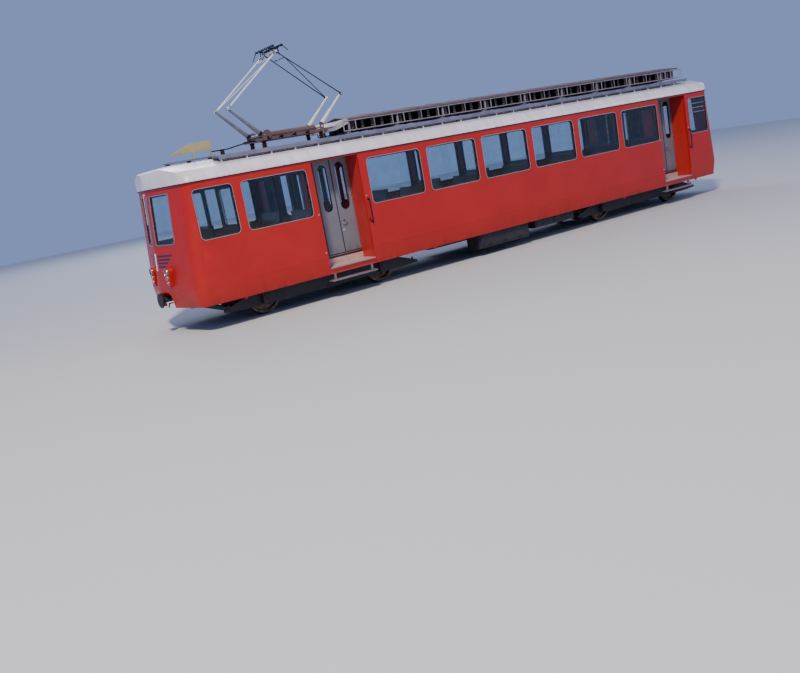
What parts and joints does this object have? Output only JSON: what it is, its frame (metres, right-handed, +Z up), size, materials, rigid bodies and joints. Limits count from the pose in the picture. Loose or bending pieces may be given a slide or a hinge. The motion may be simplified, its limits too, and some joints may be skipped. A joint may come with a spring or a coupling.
{
  "type": "rack railway railcar",
  "caption": "Electric rack railway railcar with a cab at each end, recessed folding-leaf doors, roof resistors and a diamond pantograph.",
  "frame": {"origin": "on the floor plane, at the bottom of the wheel flanges, under the middle of the car", "axes": "+X towards the mountain end, +Y to the far side, +Z up"},
  "size_m": [16.8, 2.916, 5.377],
  "materials": {
    "body_enamel": "orange-red enamel, gloss",
    "roof_aluminium": "weathered silver paint",
    "window_glass": "clear toughened glass",
    "lamp_glass": "ribbed lens glass",
    "lamp_chrome": "polished",
    "entry_enamel": "grey-beige enamel",
    "door_enamel": "mid grey enamel, satin",
    "floor_rubber": "studded floor covering",
    "chassis_paint": "blue-black chassis paint, dusty",
    "grab_rail_steel": "bright",
    "interior_laminate": "cream laminate",
    "bench_wood": "varnished beech slats",
    "walkway_paint": "dark blue-grey paint",
    "resistor_steel": "heat-browned steel",
    "board_paint": "cream paint",
    "insulator_glaze": "brown glaze",
    "pantograph_primer": "red-brown primer",
    "pantograph_steel": "bright steel tube",
    "wheel_steel": "rolled steel, browned"
  },
  "bodies": {
    "carbody": {"battery_boxes": "chassis_paint", "benches": "bench_wood", "bolsters": "chassis_paint", "bus_bar": "pantograph_steel", "centre_plank": "walkway_paint", "centre_sills": "chassis_paint", "couplers": "chassis_paint", "cross_members": "chassis_paint", "driver_desks": "interior_laminate", "end_shell_mountain": "body_enamel", "end_shell_valley": "body_enamel", "entry_mountain": "entry_enamel", "entry_valley": "entry_enamel", "equipment_boxes": "chassis_paint", "floor": "floor_rubber", "footboards": "chassis_paint", "grab_rails": "grab_rail_steel", "headlamp_housings": "body_enamel", "insulators": "insulator_glaze", "jacking_cups": "body_enamel", "lamp_lenses": "lamp_glass", "lamp_rims": "lamp_chrome", "outer_sills": "chassis_paint", "pantograph_base": "pantograph_primer", "partitions": "interior_laminate", "resistor_cover": "roof_aluminium", "resistor_frames": "resistor_steel", "resistor_grids": "resistor_steel", "roof": "roof_aluminium", "roof_board": "board_paint", "roof_walks": "walkway_paint", "side_glass": "window_glass", "side_wall_far_lobby": "body_enamel", "side_wall_far_saloon": "body_enamel", "side_wall_near_lobby": "body_enamel", "side_wall_near_saloon": "body_enamel", "windscreens": "window_glass"},
    "bogie_valley": {"bogie_frame_valley": "chassis_paint", "traction_motors_valley": "chassis_paint"},
    "bogie_mountain": {"bogie_frame_mountain": "chassis_paint", "traction_motors_mountain": "chassis_paint"},
    "wheelset_1": {"wheelset_1": "wheel_steel"},
    "wheelset_2": {"wheelset_2": "wheel_steel"},
    "wheelset_3": {"wheelset_3": "wheel_steel"},
    "wheelset_4": {"wheelset_4": "wheel_steel"},
    "door_valley_near_left": {"door_valley_near_left": "door_enamel"},
    "door_valley_far_left": {"door_valley_far_left": "door_enamel"},
    "door_valley_near_right": {"door_valley_near_right": "door_enamel"},
    "door_valley_far_right": {"door_valley_far_right": "door_enamel"},
    "door_mountain_near_left": {"door_mountain_near_left": "door_enamel"},
    "door_mountain_far_left": {"door_mountain_far_left": "door_enamel"},
    "door_mountain_near_right": {"door_mountain_near_right": "door_enamel"},
    "door_mountain_far_right": {"door_mountain_far_right": "door_enamel"},
    "lower_arms_valley": {"lower_arms_valley": "pantograph_steel"},
    "upper_arms_valley": {"upper_arms_valley": "pantograph_steel"},
    "collector_head": {"collector_head": "pantograph_steel"},
    "lower_arms_mountain": {"lower_arms_mountain": "pantograph_steel"},
    "upper_arms_mountain": {"upper_arms_mountain": "pantograph_steel"}
  },
  "joints": [
    {"name": "bogie_valley_swivel", "type": "hinge", "parent": "carbody", "child": "bogie_valley", "pos_m": [-5.05, 0, 0.69], "axis": [0, 0, 1], "range_deg": [-2.5, 2.5]},
    {"name": "bogie_mountain_swivel", "type": "hinge", "parent": "carbody", "child": "bogie_mountain", "pos_m": [5.05, 0, 0.69], "axis": [0, 0, 1], "range_deg": [-2.5, 2.5]},
    {"name": "wheelset_1_spin", "type": "hinge", "parent": "bogie_valley", "child": "wheelset_1", "pos_m": [-6.5, 0, 0.42], "axis": [0, 1, 0], "continuous": true},
    {"name": "wheelset_2_spin", "type": "hinge", "parent": "bogie_valley", "child": "wheelset_2", "pos_m": [-3.6, 0, 0.42], "axis": [0, 1, 0], "continuous": true},
    {"name": "wheelset_3_spin", "type": "hinge", "parent": "bogie_mountain", "child": "wheelset_3", "pos_m": [3.6, 0, 0.42], "axis": [0, 1, 0], "continuous": true},
    {"name": "wheelset_4_spin", "type": "hinge", "parent": "bogie_mountain", "child": "wheelset_4", "pos_m": [6.5, 0, 0.42], "axis": [0, 1, 0], "continuous": true},
    {"name": "door_valley_near_left_swing", "type": "hinge", "parent": "carbody", "child": "door_valley_near_left", "pos_m": [-4.8315, -0.891, 1.8], "axis": [0, 0, 1], "range_deg": [-80, 0]},
    {"name": "door_valley_far_left_swing", "type": "hinge", "parent": "carbody", "child": "door_valley_far_left", "pos_m": [-4.8315, 0.891, 1.8], "axis": [0, 0, 1], "range_deg": [0, 80]},
    {"name": "door_valley_near_right_swing", "type": "hinge", "parent": "carbody", "child": "door_valley_near_right", "pos_m": [-4.0275, -0.891, 1.8], "axis": [0, 0, 1], "range_deg": [0, 80]},
    {"name": "door_valley_far_right_swing", "type": "hinge", "parent": "carbody", "child": "door_valley_far_right", "pos_m": [-4.0275, 0.891, 1.8], "axis": [0, 0, 1], "range_deg": [-80, 0]},
    {"name": "door_mountain_near_left_swing", "type": "hinge", "parent": "carbody", "child": "door_mountain_near_left", "pos_m": [6.0275, -0.891, 1.8], "axis": [0, 0, 1], "range_deg": [-80, 0]},
    {"name": "door_mountain_far_left_swing", "type": "hinge", "parent": "carbody", "child": "door_mountain_far_left", "pos_m": [6.0275, 0.891, 1.8], "axis": [0, 0, 1], "range_deg": [0, 80]},
    {"name": "door_mountain_near_right_swing", "type": "hinge", "parent": "carbody", "child": "door_mountain_near_right", "pos_m": [6.8315, -0.891, 1.8], "axis": [0, 0, 1], "range_deg": [0, 80]},
    {"name": "door_mountain_far_right_swing", "type": "hinge", "parent": "carbody", "child": "door_mountain_far_right", "pos_m": [6.8315, 0.891, 1.8], "axis": [0, 0, 1], "range_deg": [-80, 0]},
    {"name": "pantograph_fold", "type": "hinge", "parent": "carbody", "child": "lower_arms_valley", "pos_m": [-5.53, 0, 3.6], "axis": [0, 1, 0], "range_deg": [-30, 0]},
    {"name": "knee_valley", "type": "hinge", "parent": "lower_arms_valley", "child": "upper_arms_valley", "pos_m": [-6.195, 0, 4.23], "axis": [0, 1, 0], "range_deg": [-0.1, 45.39]},
    {"name": "head_tilt", "type": "hinge", "parent": "upper_arms_valley", "child": "collector_head", "pos_m": [-4.83, 0, 5.27], "axis": [0, 1, 0], "range_deg": [-15.39, 0.1]},
    {"name": "lower_arms_mountain_fold", "type": "hinge", "parent": "carbody", "child": "lower_arms_mountain", "pos_m": [-4.13, 0, 3.6], "axis": [0, 1, 0], "range_deg": [-0.1, 30.1]},
    {"name": "knee_mountain", "type": "hinge", "parent": "lower_arms_mountain", "child": "upper_arms_mountain", "pos_m": [-3.465, 0, 4.23], "axis": [0, 1, 0], "range_deg": [-45.39, 0.1]}
  ],
  "couplings": [
    {"joint": "knee_valley", "follows": "pantograph_fold", "ratio": -1.5096},
    {"joint": "head_tilt", "follows": "pantograph_fold", "ratio": 0.50958},
    {"joint": "lower_arms_mountain_fold", "follows": "pantograph_fold", "ratio": -1},
    {"joint": "knee_mountain", "follows": "pantograph_fold", "ratio": 1.5096}
  ]
}
